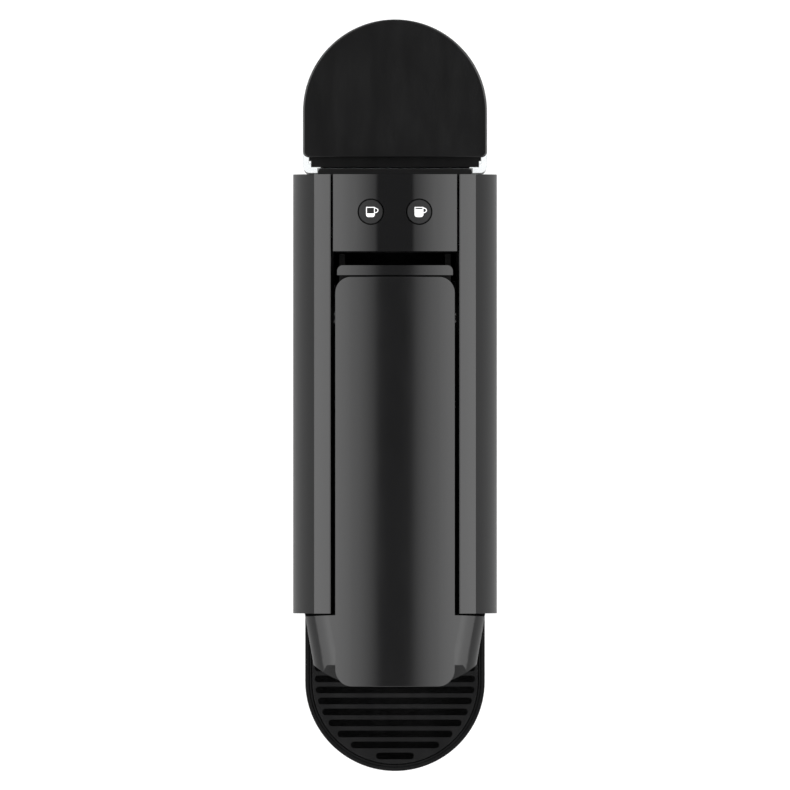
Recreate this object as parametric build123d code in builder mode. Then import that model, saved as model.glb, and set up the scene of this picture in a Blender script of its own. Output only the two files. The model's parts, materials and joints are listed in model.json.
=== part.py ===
from build123d import *
import os
from math import atan2, cos, radians, sin, sqrt

# Slim lever-operated capsule coffee machine.
# Millimetres, +Z up. The origin is on the table under the middle of the machine.
# The machine faces -Y: cup tray at -Y, water tank at +Y, and it is symmetric about X = 0.

# ---------------------------------------------------------------- overall sizes
HEIGHT = 204.0          # top of the crowned housing
CROWN_R = 90.0          # radius of the crown across the machine
SIDE_X = 44.8           # half width at the widest
CREASE_X = SIDE_X - 9.3  # half width at the crease between crown and flank
FLANK_R = 40.0          # radius of the flank below the crease
BASE_X = SIDE_X - 1.5   # half width at the foot of the side shells
WALL = 2.2              # housing wall
BODY_REAR = 97.0        # rear end of the side shells
BODY_FRONT = -95.9      # front end of the side shells
COLUMN_FRONT = -40.0    # front of the column below the head
HEAD_Z = HEIGHT - 76.0  # underside of the head
SHELL_Z = 6.0           # lower edge of the side shells
EDGE_R = 0.4            # rounding along the shells' inner edges
FIT = 0.1               # gap between fixed pieces that nest
FREE = 0.3              # gap between pieces that move past each other
RUN = 0.05              # radial running fit

# ---------------------------------------------------------------- brew unit
BREW_Z = HEIGHT - 46.0  # axis of the capsule chamber
CAGE_R = 20.8
CAGE_FRONT = -36.0      # mouth of the cage when closed
CAGE_LENGTH = 36.0
CHAMBER_R = 15.6
CHAMBER_DEPTH = 26.0
DRIVE_PER_RAD = 20.0    # cage travel per radian of lever
FOLLOWER_DY = -38.0     # follower pin from the hinge, closed
FOLLOWER_DZ = -20.0
FOLLOWER_R = 2.5
CHEEK_T = 2.4
FRAME_FRONT = -60.0
FRAME_REAR = 66.0
DECK_Z = HEIGHT - 20.0  # top of the cheeks, underside of the capsule deck
DECK_T = 2.5
FEED_R = 3.0
FEED_BORE = 1.5
FEED_LENGTH = 40.0
GLAND_FRONT = 31.0
GLAND_LENGTH = 43.0

# ---------------------------------------------------------------- lever and panel
CAM_T = 2.5
CAM_X = CAGE_R + 1.2    # inner face of the cam plates
LEVER_X = CAM_X + CAM_T + 1.8  # half width of the lever
STRIP_X = LEVER_X + 1.8  # inner edge of the shells' top strips
PANEL_X = STRIP_X - 0.9  # half width of the button panel
PANEL_FRONT = 63.2
PANEL_T = 2.5
PANEL_SKIRT_T = 1.6     # wall of the skirts under the panel's edges
LEVER_REAR = PANEL_FRONT - 11.2
LEVER_TIP = BODY_FRONT - 32.0
LEVER_SKIN = 2.2
LEVER_HOOK_Z = HEIGHT - 28.0  # lower edge of the lever's front hook
LEVER_HOOK_T = 4.0      # thickness of the front hook
LEVER_REAR_R = 7.0      # plan radius of the lever's rear corners
LEVER_FRONT_R = 7.5     # plan radius of the lever's front corners
LEVER_EDGE_R = 0.35     # rounding of the cover's upper edge
LEVER_LIP = 1.5         # thickness of the cover's side lips
LEVER_LIP_Z = HEIGHT - 13.0  # lower edge of the side lips
TAIL_REAR = PANEL_FRONT - 6.2
TAIL_X = LEVER_X - 0.9
TAIL_GAP = 0.7          # groove between lever cover and tail
HINGE_Y = 34.0
HINGE_Z = HEIGHT - 16.0
HINGE_R = 3.0
LEVER_SWING = 85.0      # degrees
LEVER_PLATE_T = 2.0     # lever frame's top plate
PLATE_GAP = 0.8         # gap between that plate and the cover above it

BUTTON_X = 10.65
BUTTON_Y = PANEL_FRONT + 17.3
BUTTON_R = 5.2
BUTTON_GAP = 0.6
BUTTON_TRAVEL = 1.0

# ---------------------------------------------------------------- nose and spout
NOSE_X = SIDE_X - 5.1   # half width where the nose leaves the shells
NOSE_TIP_X = NOSE_X - 3.9  # half width before its front corners
NOSE_SIDE_END = BODY_FRONT - 22.6
NOSE_TIP = BODY_FRONT - 30.7
NOSE_WALL = 3.0
NOSE_SHOULDER_R = 15.0  # rounding between the nose's crown and its sides
FACET_LOW = HEIGHT - 11.5  # the front facet beside the lever falls from FACET_HIGH to here
FACET_HIGH = HEIGHT - 6.0
SPLIT_Z = HEIGHT - 16.5  # above this the nose's top lifts with the lever
SPOUT_Y = BODY_FRONT + 0.9
SPOUT_Z = HEAD_Z - 16.0

# ---------------------------------------------------------------- tank
TANK_X = SIDE_X - 4.4
TANK_FRONT = BODY_REAR + 0.6
TANK_CY = TANK_FRONT + 27.0  # centre of the tank's round end
TANK_WALL = 2.2
TANK_Z = 16.0
TANK_TOP = HEIGHT - 14.0
LID_FRONT = TANK_FRONT + 6.8
LID_T = 6.0
TONGUE_X = TANK_X - 3.5
TONGUE_FRONT = TANK_FRONT + 2.5
TONGUE_T = 1.2
SPINE_X = TANK_X - 6.6  # half width of the rear casing's spine
SPINE_REAR = TANK_FRONT + 1.8
TAIL_BASE_X = TANK_X - 7.4  # half width of the base under the tank
VALVE_R = 9.0
SPIGOT_R = 5.0
SPIGOT_BORE = 2.0

# ---------------------------------------------------------------- tray
TRAY_X = SIDE_X - 5.0
TRAY_CY = BODY_FRONT - 31.0  # centre of the tray's round end
TRAY_REAR = COLUMN_FRONT - 2.0
TRAY_Z = 2.0
TRAY_TOP = 38.0
TRAY_WALL = 1.5
GROOVE = 0.5            # groove along the tray's rim
GRID_INSET = 3.0        # tray's outline to the grid's outline
GRID_T = 2.6
GRID_RING = 1.2
SLOT_PITCH = 4.88
SLOT_WIDTH = 3.0
BIN_X = SIDE_X - 4.8    # used-capsule container
BIN_FRONT = COLUMN_FRONT - 0.5
BIN_REAR = 22.0
BIN_TOP = HEAD_Z - 20.0
BIN_WALL = 1.8
CARRIER_Z = 10.5        # underside of the tray's carrier plate under the container
CARRIER_T = 2.0

# ---------------------------------------------------------------- base
FOOT_H = 4.0
FOOT_R = 7.0
PLATE_T = 3.0
BASE_RIM = 13.0         # top of the base's rim
CORD_R = 2.3            # cord inlet's bore
CORD_Z = 8.8            # height of the cord inlet's axis

# ---------------------------------------------------------------- worked out from the sizes above
CROWN_CZ = HEIGHT - CROWN_R
SWING = radians(LEVER_SWING)
TRAVEL = DRIVE_PER_RAD * SWING
CAGE_REAR = CAGE_FRONT + CAGE_LENGTH
CHAMBER_END = CAGE_FRONT + CHAMBER_DEPTH
FRAME_LOW = BREW_Z - CAGE_R - 1.2
CHEEK_X = CAM_X + CAM_T + 2.3  # inner face of the brew frame's cheeks
RAIL_X = LEVER_X + 2 * FREE  # half width of the channel that the lever closes into
FOLLOWER_Y = HINGE_Y + FOLLOWER_DY
FOLLOWER_Z = HINGE_Z + FOLLOWER_DZ
FLANK_CX = SIDE_X - FLANK_R
CREASE_Z = CROWN_CZ + sqrt(CROWN_R**2 - CREASE_X**2)
FLANK_CZ = CREASE_Z - sqrt(FLANK_R**2 - (CREASE_X - FLANK_CX) ** 2)
PLATE_TOP = FOOT_H + PLATE_T
DECK_TOP = DECK_Z + DECK_T
TAIL_R = sqrt((TAIL_REAR - HINGE_Y) ** 2 + (HEIGHT - HINGE_Z) ** 2)
HOOK_BACK = LEVER_TIP + LEVER_HOOK_T
# nose top's rear face, from the hinge
HEAD_R = sqrt((HINGE_Y - BODY_FRONT) ** 2 + (HEIGHT - HINGE_Z) ** 2) + FREE


def crown(x, inset=0.0):
    """Height of the crown at x, inset under the housing's outer surface."""
    return CROWN_CZ + sqrt((CROWN_R - inset) ** 2 - x**2)


LEVER_PLATE_Z = crown(CAM_X + CAM_T, LEVER_SKIN) - PLATE_GAP - LEVER_PLATE_T  # underside of the plate


def crease(inset):
    """Where the inset crown and the inset flank meet."""
    span = sqrt(FLANK_CX**2 + (FLANK_CZ - CROWN_CZ) ** 2)
    big, small = CROWN_R - inset, FLANK_R - inset
    along = (big**2 - small**2 + span**2) / (2 * span)
    across = sqrt(big**2 - along**2)
    ux, uz = FLANK_CX / span, (FLANK_CZ - CROWN_CZ) / span
    return along * ux + across * uz, CROWN_CZ + along * uz - across * ux


def side_point(inset):
    """Widest point of the inset flank."""
    return SIDE_X - inset, FLANK_CZ


def half_section(inset, inner_x, bottom):
    """Right half of the housing's section, from inner_x out to the inset surface."""
    top = (inner_x, crown(inner_x, inset))
    ridge = crease(inset)
    side = side_point(inset)
    mid_x = (inner_x + ridge[0]) / 2
    turn = atan2(ridge[1] - FLANK_CZ, ridge[0] - FLANK_CX) / 2
    flank_r = FLANK_R - inset
    flank_mid = (FLANK_CX + flank_r * cos(turn), FLANK_CZ + flank_r * sin(turn))
    with BuildLine() as outline:
        Line((inner_x, bottom), top)
        ThreePointArc(top, (mid_x, crown(mid_x, inset)), ridge)
        ThreePointArc(ridge, flank_mid, side)
        Polyline(side, (BASE_X - inset, bottom), (inner_x, bottom))
    make_face(outline.edges())


def crown_band(half_x, thickness, inset=0.0):
    """Crowned band across the machine, half_x each way."""
    high, low = inset, inset + thickness
    with BuildLine() as outline:
        ThreePointArc((-half_x, crown(half_x, high)), (0, crown(0, high)), (half_x, crown(half_x, high)))
        Line((half_x, crown(half_x, high)), (half_x, crown(half_x, low)))
        ThreePointArc((half_x, crown(half_x, low)), (0, crown(0, low)), (-half_x, crown(half_x, low)))
        Line((-half_x, crown(half_x, low)), (-half_x, crown(half_x, high)))
    make_face(outline.edges())


def under_crown(half_x, bottom, inset=0.0):
    """Everything under the crown down to a flat bottom, half_x each way."""
    edge = crown(half_x, inset)
    with BuildLine() as outline:
        ThreePointArc((-half_x, edge), (0, crown(0, inset)), (half_x, edge))
        Polyline((half_x, edge), (half_x, bottom), (-half_x, bottom), (-half_x, edge))
    make_face(outline.edges())


def d_outline(half_x, centre_y, straight_y, mode=Mode.ADD):
    """D outline: half round about centre_y, straight sides to straight_y."""
    way = 1 if centre_y > straight_y else -1
    with BuildLine() as outline:
        Polyline((-half_x, centre_y), (-half_x, straight_y), (half_x, straight_y), (half_x, centre_y))
        ThreePointArc((half_x, centre_y), (0, centre_y + way * half_x), (-half_x, centre_y))
    make_face(outline.edges(), mode=mode)


def at_y(y):
    """Section plane at y; its X is the machine's X, its Y is up, and it extrudes to -Y."""
    return Plane.XZ.offset(-y)


def block(x0, x1, y0, y1, z0, z1, mode=Mode.ADD):
    """Box between two corners."""
    with Locations(((x0 + x1) / 2, (y0 + y1) / 2, (z0 + z1) / 2)):
        Box(x1 - x0, y1 - y0, z1 - z0, mode=mode)


def rod_x(radius, half_x, y, z, mode=Mode.ADD):
    """Cylinder along X, centred on the machine."""
    with Locations((0, y, z)):
        Cylinder(radius, 2 * half_x, rotation=(0, 90, 0), mode=mode)


def rod_y(radius, y0, y1, z, x=0.0, mode=Mode.ADD):
    """Cylinder along Y."""
    with Locations((x, (y0 + y1) / 2, z)):
        Cylinder(radius, y1 - y0, rotation=(90, 0, 0), mode=mode)


def rod_z(radius, x, y, z0, z1, mode=Mode.ADD):
    """Cylinder along Z."""
    with Locations((x, y, (z0 + z1) / 2)):
        Cylinder(radius, z1 - z0, mode=mode)


def ring_z(radius, bore, x, y, z0, z1):
    """Ring about a vertical axis."""
    rod_z(radius, x, y, z0, z1)
    rod_z(bore, x, y, z0, z1, Mode.SUBTRACT)


def pipe(points, bend, radius, bore):
    """Pipe along straight runs joined by arcs."""
    with BuildLine() as path:
        FilletPolyline(*points, radius=bend)
    with BuildSketch(Plane(path.line @ 0, z_dir=path.line % 0)) as section:
        Circle(radius)
        Circle(bore, mode=Mode.SUBTRACT)
    sweep(section.sketch, path=path.line)


pieces = []


def keep(piece, name):
    """Label a finished piece and put it on the list to export."""
    piece.part.label = name
    pieces.append(piece.part)


# ================================================================ housing
with BuildPart() as shell_right:
    with BuildSketch(at_y(BODY_REAR)):
        half_section(0, STRIP_X, SHELL_Z)
    extrude(amount=BODY_REAR - BODY_FRONT)
    with BuildSketch(at_y(BODY_REAR)):
        half_section(WALL, STRIP_X / 2, SHELL_Z / 2)
    extrude(amount=BODY_REAR - BODY_FRONT, mode=Mode.SUBTRACT)
    with BuildSketch(Plane.YZ):
        with BuildLine():
            Polyline((BODY_FRONT, HEAD_Z), (BODY_FRONT, HEIGHT), (BODY_REAR, HEIGHT), (BODY_REAR, SHELL_Z),
                     (COLUMN_FRONT, SHELL_Z), (COLUMN_FRONT, HEAD_Z), close=True)
        profile = make_face()
        fillet(profile.vertices().sort_by_distance((COLUMN_FRONT, HEAD_Z, 0))[0], 10)
        fillet(profile.vertices().sort_by_distance((BODY_FRONT, HEAD_Z, 0))[0], 4)
    extrude(amount=SIDE_X + WALL, mode=Mode.INTERSECT)
    inner_edge = shell_right.edges().filter_by(Axis.Y).sort_by_distance((STRIP_X, 0, crown(STRIP_X)))[0]
    fillet(inner_edge, EDGE_R)
keep(shell_right, "shell_right")

with BuildPart() as shell_left:
    mirror(shell_right.part, about=Plane.YZ)
keep(shell_left, "shell_left")

REAR_INSET = PANEL_T + 0.5
REAR_T = 3.0
REAR_Z = BASE_RIM + FIT
SPINE_RISE = 4.0        # spine above the tank's rim
with BuildPart() as rear_casing:
    with BuildSketch(at_y(BODY_REAR)):
        half_section(REAR_INSET, 0, REAR_Z)
        mirror(about=Plane.YZ)
    extrude(amount=REAR_T)
    block(-SPINE_X, SPINE_X, BODY_REAR, SPINE_REAR, TANK_Z + 10, TANK_TOP + SPINE_RISE)
    fillet(rear_casing.edges().filter_by(Axis.Z).group_by(Axis.Y)[-1], 1.5)
keep(rear_casing, "rear_casing")

POST_X = 22.0
POST_R = 2.2
BOARD_T = 1.6
BOARD_Z = HEIGHT - 14.0
SKIRT = 7.0
BOARD_FRONT = PANEL_FRONT + 3.0
BOARD_REAR = BODY_REAR - REAR_T - 1.0
with BuildPart() as button_panel:
    with BuildSketch(at_y(BODY_REAR)):
        crown_band(PANEL_X, PANEL_T)
    extrude(amount=BODY_REAR - PANEL_FRONT)
    for side in (-1, 1):
        edge = sorted((side * PANEL_X, side * (PANEL_X - PANEL_SKIRT_T)))
        top = crown(PANEL_X) - PANEL_T / 2
        block(*edge, PANEL_FRONT, BODY_REAR - REAR_T - FIT, top - SKIRT, top)
    block(-PANEL_X, PANEL_X, PANEL_FRONT, PANEL_FRONT + PANEL_SKIRT_T, HINGE_Z, crown(PANEL_X) - PANEL_T / 2)
    for y in (BOARD_FRONT + 4, BOARD_REAR - 4):
        for side in (-1, 1):
            rod_z(POST_R, side * POST_X, y, BOARD_Z + BOARD_T, crown(POST_X) - PANEL_T / 2)
    with Locations((-BUTTON_X, BUTTON_Y, HEIGHT), (BUTTON_X, BUTTON_Y, HEIGHT)):
        Cylinder(BUTTON_R + BUTTON_GAP, 4 * PANEL_T, mode=Mode.SUBTRACT)
keep(button_panel, "button_panel")

FLANGE_R = BUTTON_R + 2.0
FLANGE_T = 1.2
FLANGE_TOP = crown(BUTTON_X + FLANGE_R, PANEL_T) - FREE
SWITCH_H = 3.8
STEM_LOW = BOARD_Z + BOARD_T + SWITCH_H + BUTTON_TRAVEL + 0.2
for name, side in (("button_espresso", -1), ("button_lungo", 1)):
    with BuildPart() as button:
        rod_z(BUTTON_R, side * BUTTON_X, BUTTON_Y, FLANGE_TOP - FLANGE_T, HEIGHT)
        with BuildSketch(at_y(BODY_REAR)):
            crown_band(PANEL_X, 3 * PANEL_T, 0.1)
        extrude(amount=BODY_REAR - PANEL_FRONT, mode=Mode.INTERSECT)
        rod_z(FLANGE_R, side * BUTTON_X, BUTTON_Y, FLANGE_TOP - FLANGE_T, FLANGE_TOP)
        rod_z(1.8, side * BUTTON_X, BUTTON_Y, STEM_LOW, FLANGE_TOP)
    keep(button, name)

with BuildPart() as button_board:
    block(-POST_X - 3, POST_X + 3, BOARD_FRONT, BOARD_REAR, BOARD_Z, BOARD_Z + BOARD_T)
keep(button_board, "button_board")

with BuildPart() as tact_switches:
    with Locations((-BUTTON_X, BUTTON_Y, BOARD_Z + BOARD_T), (BUTTON_X, BUTTON_Y, BOARD_Z + BOARD_T)):
        Box(6, 6, SWITCH_H - 0.8, align=(Align.CENTER, Align.CENTER, Align.MIN))
        Cylinder(1.7, SWITCH_H, align=(Align.CENTER, Align.CENTER, Align.MIN))
keep(tact_switches, "tact_switches")

# ================================================================ nose, head floor, spout
FLOOR_T = 2.5
POCKET_FRONT = NOSE_SIDE_END + 4.5
with BuildPart() as nose_whole:
    with BuildSketch(Plane.XY.offset(HEAD_Z + FLOOR_T + FIT)):
        with BuildLine():
            side_line = Polyline((0, BODY_FRONT), (NOSE_X, BODY_FRONT), (NOSE_TIP_X, NOSE_SIDE_END))
            corner = (NOSE_TIP_X - 5.5, NOSE_TIP + 4.2)
            front = ThreePointArc(side_line @ 1, corner, (NOSE_TIP_X - 15.5, NOSE_TIP))
            Line(front @ 1, (0, NOSE_TIP))
            mirror(about=Plane.YZ)
        make_face()
    extrude(amount=HEIGHT - HEAD_Z)
    with BuildSketch(at_y(BODY_FRONT)):
        under_crown(NOSE_X + 1, HEAD_Z)
    extrude(amount=BODY_FRONT - LEVER_TIP, mode=Mode.INTERSECT)
    ridges = nose_whole.edges().filter_by(lambda e: abs((e @ 0.5).X) > NOSE_TIP_X and (e @ 0.5).Z > SPLIT_Z)
    fillet(ridges, NOSE_SHOULDER_R)
    with BuildSketch(Plane.YZ):
        with BuildLine():
            Polyline((BODY_FRONT, HEAD_Z), (NOSE_SIDE_END + 6, HEAD_Z), (NOSE_TIP, HEAD_Z + 22),
                     (NOSE_TIP, FACET_LOW), (NOSE_SIDE_END, FACET_HIGH), (NOSE_SIDE_END, HEIGHT),
                     (BODY_FRONT, HEIGHT), close=True)
        make_face()
    extrude(amount=NOSE_X + 1, both=True, mode=Mode.INTERSECT)

with BuildPart() as nose:
    add(nose_whole.part)
    block(-SIDE_X, SIDE_X, NOSE_TIP - 1, BODY_FRONT + 1, SPLIT_Z - FREE, HEIGHT + 1, Mode.SUBTRACT)
    block(-RAIL_X, RAIL_X, HOOK_BACK - 2 * FREE, BODY_FRONT + 1, DECK_Z - FIT, HEIGHT, Mode.SUBTRACT)
    block(-RAIL_X, RAIL_X, NOSE_TIP - 1, HOOK_BACK + 2 * FREE, LEVER_HOOK_Z - 1, HEIGHT, Mode.SUBTRACT)
    block(-NOSE_TIP_X + NOSE_WALL, NOSE_TIP_X - NOSE_WALL, POCKET_FRONT, BODY_FRONT + 1, HEAD_Z - 1,
          DECK_Z - NOSE_WALL, Mode.SUBTRACT)
keep(nose, "nose")

with BuildPart() as head_floor:
    with BuildSketch(Plane.XY.offset(HEAD_Z)):
        with BuildLine():
            Polyline((0, COLUMN_FRONT - FIT), (SIDE_X - 3.2, COLUMN_FRONT - FIT), (SIDE_X - 3.2, BODY_FRONT),
                     (NOSE_X, BODY_FRONT), (NOSE_TIP_X + 1.2, NOSE_SIDE_END + 6), (0, NOSE_SIDE_END + 6))
            mirror(about=Plane.YZ)
        make_face()
    extrude(amount=FLOOR_T)
    rod_z(10, 0, SPOUT_Y, HEAD_Z - 1, HEAD_Z + FLOOR_T + 1, Mode.SUBTRACT)
keep(head_floor, "head_floor")

SPOUT_TOP = HEAD_Z + FLOOR_T + 2.1
with BuildPart() as spout:
    with BuildSketch(Plane.XZ.offset(-SPOUT_Y)):
        with BuildLine():
            Polyline((3.2, SPOUT_Z), (6.0, SPOUT_Z), (9.8, HEAD_Z), (9.8, HEAD_Z + FLOOR_T + FIT),
                     (13.0, HEAD_Z + FLOOR_T + FIT), (13.0, SPOUT_TOP),
                     (7.0, SPOUT_TOP), (5.2, HEAD_Z - 2), close=True)
        make_face()
    revolve(axis=Axis((0, SPOUT_Y, 0), (0, 0, 1)))
keep(spout, "spout")

FRAME_WALL = 4.0
HOLDER_FRONT = FRAME_FRONT + FRAME_WALL
DUCT_R = 4.6
DUCT_BORE = 3.4
PLATE_FRONT = CAGE_FRONT - 4.6
with BuildPart() as coffee_duct:
    pipe([(0, FRAME_FRONT, BREW_Z), (0, SPOUT_Y, BREW_Z), (0, SPOUT_Y, SPOUT_TOP)], 9, DUCT_R, DUCT_BORE)
keep(coffee_duct, "coffee_duct")

COVER_T = 1.9
with BuildPart() as column_cover:
    block(-SIDE_X + 3.4, SIDE_X - 3.4, COLUMN_FRONT, COLUMN_FRONT + COVER_T, BIN_TOP + 2, HEAD_Z + FLOOR_T)
keep(column_cover, "column_cover")

# ================================================================ brew unit
EAR_R = 7.5
GLAND_X = 8.0           # half width and half height of the feed tube's gland
GLAND_Z = 6.0
with BuildPart() as brew_frame:
    for side in (-1, 1):
        cheek = sorted((side * CHEEK_X, side * (CHEEK_X + CHEEK_T)))
        block(*cheek, FRAME_FRONT, FRAME_REAR, FRAME_LOW, DECK_Z)
    rod_x(EAR_R, CHEEK_X + CHEEK_T, HINGE_Y, HINGE_Z)
    block(-CHEEK_X, CHEEK_X, FRAME_FRONT, HOLDER_FRONT, FRAME_LOW, DECK_Z - 3)
    block(-CHEEK_X, CHEEK_X, FRAME_REAR - FRAME_WALL, FRAME_REAR, FRAME_LOW, FRAME_LOW + 10)
    block(-CHEEK_X, CHEEK_X, HINGE_Y - EAR_R, HINGE_Y + EAR_R, FRAME_LOW + 20, HEIGHT, Mode.SUBTRACT)
    rod_x(HINGE_R, CHEEK_X + CHEEK_T, HINGE_Y, HINGE_Z, Mode.SUBTRACT)
    slot_y = FOLLOWER_Y + TRAVEL / 2
    with BuildSketch(Plane.YZ):
        with Locations((slot_y, FOLLOWER_Z)):
            SlotCenterToCenter(TRAVEL + 1, 2 * (FOLLOWER_R + FREE))
    extrude(amount=CHEEK_X + CHEEK_T, both=True, mode=Mode.SUBTRACT)
    rod_y(DUCT_R, FRAME_FRONT, HOLDER_FRONT, BREW_Z, mode=Mode.SUBTRACT)
keep(brew_frame, "brew_frame")

with BuildPart() as hinge_pin:
    rod_x(HINGE_R, CHEEK_X + CHEEK_T, HINGE_Y, HINGE_Z)
keep(hinge_pin, "hinge_pin")

with BuildPart() as plate_holder:
    rod_y(CAGE_R, HOLDER_FRONT, PLATE_FRONT, BREW_Z)
    rod_y(DUCT_BORE, HOLDER_FRONT, PLATE_FRONT, BREW_Z, mode=Mode.SUBTRACT)
    rod_y(CHAMBER_R - 1, PLATE_FRONT - 2, PLATE_FRONT, BREW_Z, mode=Mode.SUBTRACT)
keep(plate_holder, "plate_holder")

STUD_PITCH = 4.2
with BuildPart() as piercing_plate:
    rod_y(CAGE_R - 1.5, PLATE_FRONT, CAGE_FRONT - FREE, BREW_Z)
    with BuildSketch(at_y(CAGE_FRONT - FREE)):
        with Locations((0, BREW_Z)):
            with GridLocations(STUD_PITCH, STUD_PITCH, 5, 5):
                Rectangle(2.4, 2.4)
    extrude(amount=-1.4, taper=28)
    with BuildSketch(at_y(CAGE_FRONT)):
        with Locations((0, BREW_Z)):
            with GridLocations(STUD_PITCH, STUD_PITCH, 4, 4):
                Circle(0.5)
    extrude(amount=10, mode=Mode.SUBTRACT)
keep(piercing_plate, "piercing_plate")

RIM_SEAL_OUT = CAGE_R - 1.4
RIM_SEAL_IN = CAGE_R - 3.2
RIM_SEAL_T = 1.6
with BuildPart() as capsule_cage:
    rod_y(CAGE_R, CAGE_FRONT, CAGE_REAR, BREW_Z)
    fillet(capsule_cage.edges().filter_by(GeomType.CIRCLE).group_by(Axis.Y)[-1], 1.5)
    with BuildSketch(at_y(CAGE_FRONT)):
        with Locations((0, BREW_Z)):
            Circle(CHAMBER_R)
    extrude(amount=-CHAMBER_DEPTH, taper=3, mode=Mode.SUBTRACT)
    with BuildSketch(at_y(CAGE_FRONT)):
        with Locations((0, BREW_Z)):
            Circle(RIM_SEAL_OUT)
            Circle(RIM_SEAL_IN, mode=Mode.SUBTRACT)
    extrude(amount=-RIM_SEAL_T, mode=Mode.SUBTRACT)
    rod_x(FOLLOWER_R, CAGE_R, FOLLOWER_Y, FOLLOWER_Z, Mode.SUBTRACT)
    rod_y(FEED_BORE, CAGE_FRONT, CAGE_REAR, BREW_Z, mode=Mode.SUBTRACT)
    rod_y(FEED_R, CAGE_REAR - 1.0, CAGE_REAR, BREW_Z, mode=Mode.SUBTRACT)
keep(capsule_cage, "capsule_cage")

with BuildPart() as cage_seal:
    with BuildSketch(at_y(CAGE_FRONT)):
        with Locations((0, BREW_Z)):
            Circle(RIM_SEAL_OUT)
            Circle(RIM_SEAL_IN, mode=Mode.SUBTRACT)
    extrude(amount=-RIM_SEAL_T)
keep(cage_seal, "cage_seal")

with BuildPart() as injection_needles:
    with BuildSketch(at_y(CHAMBER_END)):
        with Locations((0, BREW_Z)):
            with PolarLocations(7.5, 3, start_angle=90):
                Circle(1.3)
    extrude(amount=4.2, taper=12)
keep(injection_needles, "injection_needles")

with BuildPart() as follower_pin:
    rod_x(FOLLOWER_R, CHEEK_X + CHEEK_T - 0.4, FOLLOWER_Y, FOLLOWER_Z)
keep(follower_pin, "follower_pin")

with BuildPart() as feed_tube:
    rod_y(FEED_R, CAGE_REAR - 1.0, FEED_LENGTH, BREW_Z)
    rod_y(FEED_BORE, CAGE_REAR - 1.0, FEED_LENGTH, BREW_Z, mode=Mode.SUBTRACT)
keep(feed_tube, "feed_tube")

GLAND_REAR = GLAND_FRONT + GLAND_LENGTH
GLAND_LOW = FRAME_LOW + 10
SEAL_T = 2.4
SEAL_R = 4.6
GLAND_END = 2.5         # closed end behind the tube's bore
with BuildPart() as feed_gland:
    block(-GLAND_X, GLAND_X, GLAND_FRONT, GLAND_REAR, BREW_Z - GLAND_Z, BREW_Z + GLAND_Z)
    block(-GLAND_X, GLAND_X, FRAME_REAR - FRAME_WALL, FRAME_REAR, GLAND_LOW, BREW_Z)
    fillet(feed_gland.edges().filter_by(Axis.Y).group_by(Axis.Z)[-1], 2)
    rod_y(FEED_R + RUN, GLAND_FRONT, GLAND_REAR - GLAND_END, BREW_Z, mode=Mode.SUBTRACT)
    rod_y(SEAL_R, GLAND_FRONT, GLAND_FRONT + SEAL_T, BREW_Z, mode=Mode.SUBTRACT)
    rod_y(FEED_BORE, GLAND_FRONT, GLAND_REAR, BREW_Z, mode=Mode.SUBTRACT)
keep(feed_gland, "feed_gland")

with BuildPart() as gland_seal:
    rod_y(SEAL_R, GLAND_FRONT, GLAND_FRONT + SEAL_T, BREW_Z)
    rod_y(FEED_R + RUN, GLAND_FRONT, GLAND_FRONT + SEAL_T, BREW_Z, mode=Mode.SUBTRACT)
keep(gland_seal, "gland_seal")

DECK_NARROW = -17.0     # behind this the deck passes between the cam plates
SLOT_X = CAM_X - 3.0    # half width of the capsule slot
SLOT_WALL = 1.6
with BuildPart() as capsule_deck:
    block(-RAIL_X + FREE, RAIL_X - FREE, POCKET_FRONT, DECK_NARROW, DECK_Z, DECK_TOP)
    block(-CAM_X + 0.6, CAM_X - 0.6, DECK_NARROW, CHAMBER_END + 4, DECK_Z, DECK_TOP)
    block(-SLOT_X, SLOT_X, CAGE_FRONT - 1, CHAMBER_END + 2, DECK_Z, DECK_TOP, Mode.SUBTRACT)
    for side in (-1, 1):
        wall = sorted((side * SLOT_X, side * (SLOT_X + SLOT_WALL)))
        block(*wall, CAGE_FRONT - 1, CHAMBER_END + 2, DECK_Z, DECK_TOP + 3)
keep(capsule_deck, "capsule_deck")

TROUGH_IN = TAIL_R + 0.7
TROUGH_T = 1.5
with BuildPart() as hinge_trough:
    with BuildSketch(Plane.YZ):
        with Locations((HINGE_Y, HINGE_Z)):
            Circle(TROUGH_IN + TROUGH_T)
            Circle(TROUGH_IN, mode=Mode.SUBTRACT)
        with Locations((HINGE_Y, HINGE_Z)):
            Rectangle(4 * TAIL_R, 4 * TAIL_R, align=(Align.CENTER, Align.MIN), mode=Mode.SUBTRACT)
            Rectangle(4 * TAIL_R, 4 * TAIL_R, align=(Align.MAX, Align.CENTER), mode=Mode.SUBTRACT)
        with Locations((HINGE_Y, BREW_Z + GLAND_Z + FREE)):
            Rectangle(4 * TAIL_R, 2 * TAIL_R, align=(Align.CENTER, Align.MAX), mode=Mode.SUBTRACT)
    extrude(amount=CHEEK_X - FIT, both=True)
keep(hinge_trough, "hinge_trough")

CHUTE_Y0 = CAGE_FRONT - 0.5
CHUTE_Y1 = CHAMBER_END + 8
CHUTE_X = CAM_X + 0.5
CHUTE_WALL = 1.5
with BuildPart() as capsule_chute:
    block(-CHUTE_X - CHUTE_WALL, CHUTE_X + CHUTE_WALL, CHUTE_Y0 - CHUTE_WALL, CHUTE_Y1 + CHUTE_WALL,
          BIN_TOP + 4, FRAME_LOW - FIT)
    block(-CHUTE_X, CHUTE_X, CHUTE_Y0, CHUTE_Y1, BIN_TOP + 3, FRAME_LOW + 1, Mode.SUBTRACT)
keep(capsule_chute, "capsule_chute")

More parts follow.
